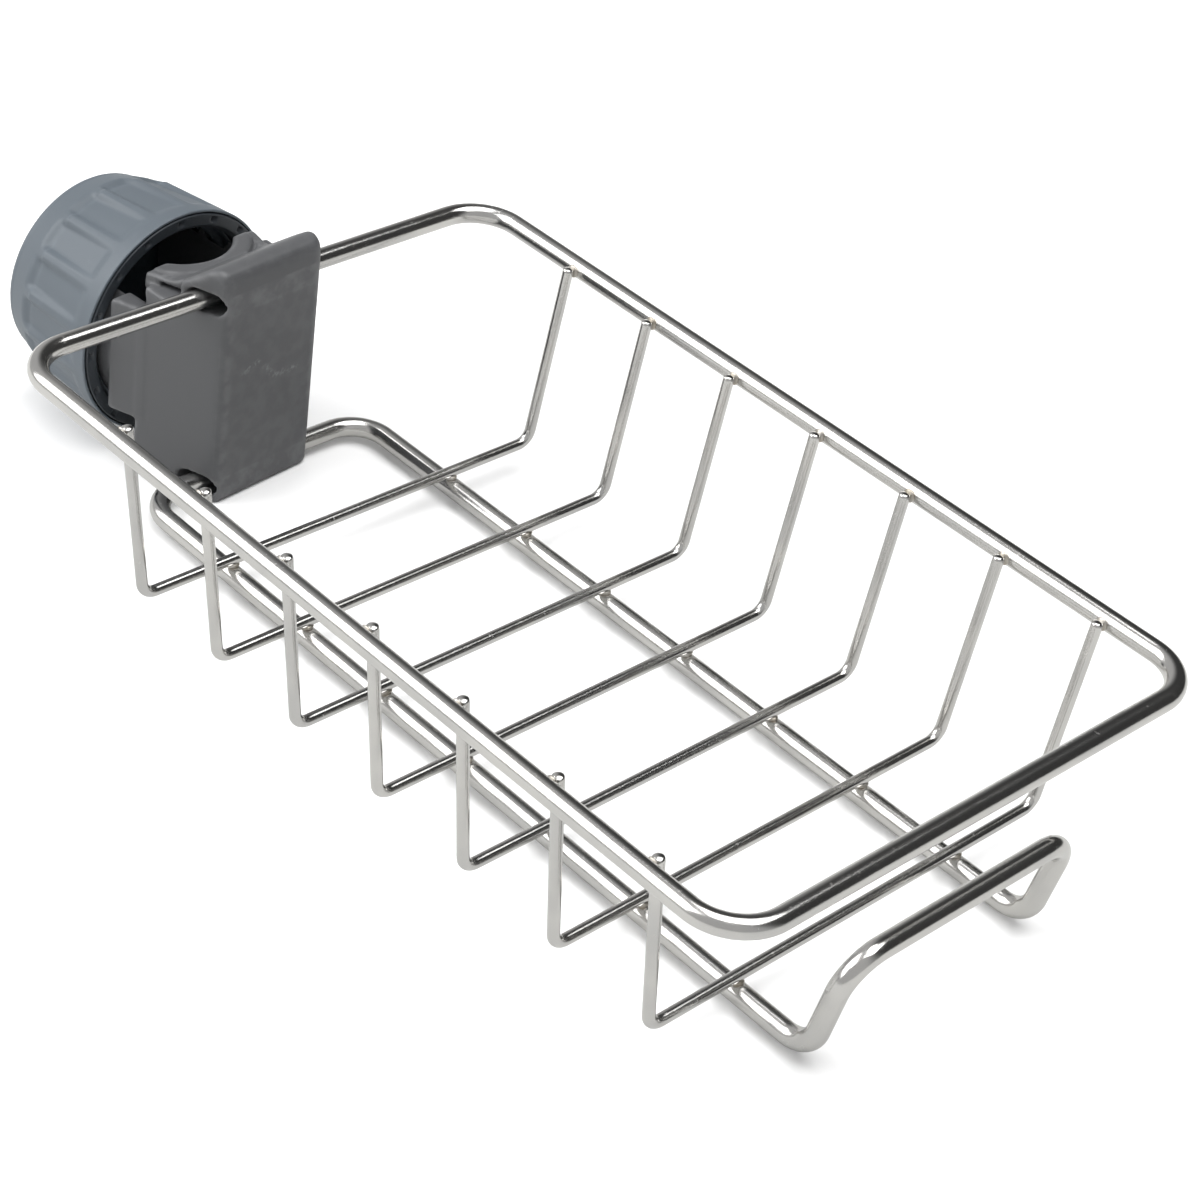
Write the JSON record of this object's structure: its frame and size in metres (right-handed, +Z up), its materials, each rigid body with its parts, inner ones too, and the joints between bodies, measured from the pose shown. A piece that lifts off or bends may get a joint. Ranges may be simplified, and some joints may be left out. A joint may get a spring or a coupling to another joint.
{
  "type": "faucet organizer rack",
  "caption": "Small stainless wire basket that hangs from a plastic screw clamp round an upright tap pipe and holds a sponge or brush.",
  "frame": {"origin": "centre of the bounding box in plan, on the plane that the clamp body's foot stands on", "axes": "+X along the basket from the clamp to the free end, +Y across the basket, +Z up along the tap pipe"},
  "size_m": [0.2672, 0.1292, 0.058],
  "materials": {
    "steel_wire": "bright polished stainless wire",
    "clamp_plastic": "satin moulded dark grey plastic",
    "ring_plastic": "satin dark grey plastic",
    "cap_plastic": "satin blue-grey moulded plastic"
  },
  "bodies": {
    "clamp": {"clamp_base": "clamp_plastic"},
    "basket": {"rim_wire": "steel_wire", "lower_frame_wire": "steel_wire", "cross_wire_1": "steel_wire", "cross_wire_2": "steel_wire", "cross_wire_3": "steel_wire", "cross_wire_4": "steel_wire", "cross_wire_5": "steel_wire", "cross_wire_6": "steel_wire", "cross_wire_7": "steel_wire"},
    "ring": {"pressure_ring": "ring_plastic"},
    "cap": {"screw_cap": "cap_plastic"}
  },
  "joints": [
    {"name": "basket_slide", "type": "slide", "parent": "clamp", "child": "basket", "axis": [0, 1, 0], "range_m": [-0.0102, 0.0105]},
    {"name": "cap_travel", "type": "slide", "parent": "clamp", "child": "ring", "axis": [-0.9957, -0.0924, 0], "range_m": [-0.0015, 0.016]},
    {"name": "cap_turn", "type": "hinge", "parent": "ring", "child": "cap", "pos_m": [-0.10104, -0.00411, 0.02738], "axis": [-0.9957, -0.0924, 0], "range_deg": [-110, 1155]}
  ],
  "couplings": [
    {"joint": "cap_turn", "follows": "cap_travel", "rad_per_m": 1256.6}
  ]
}
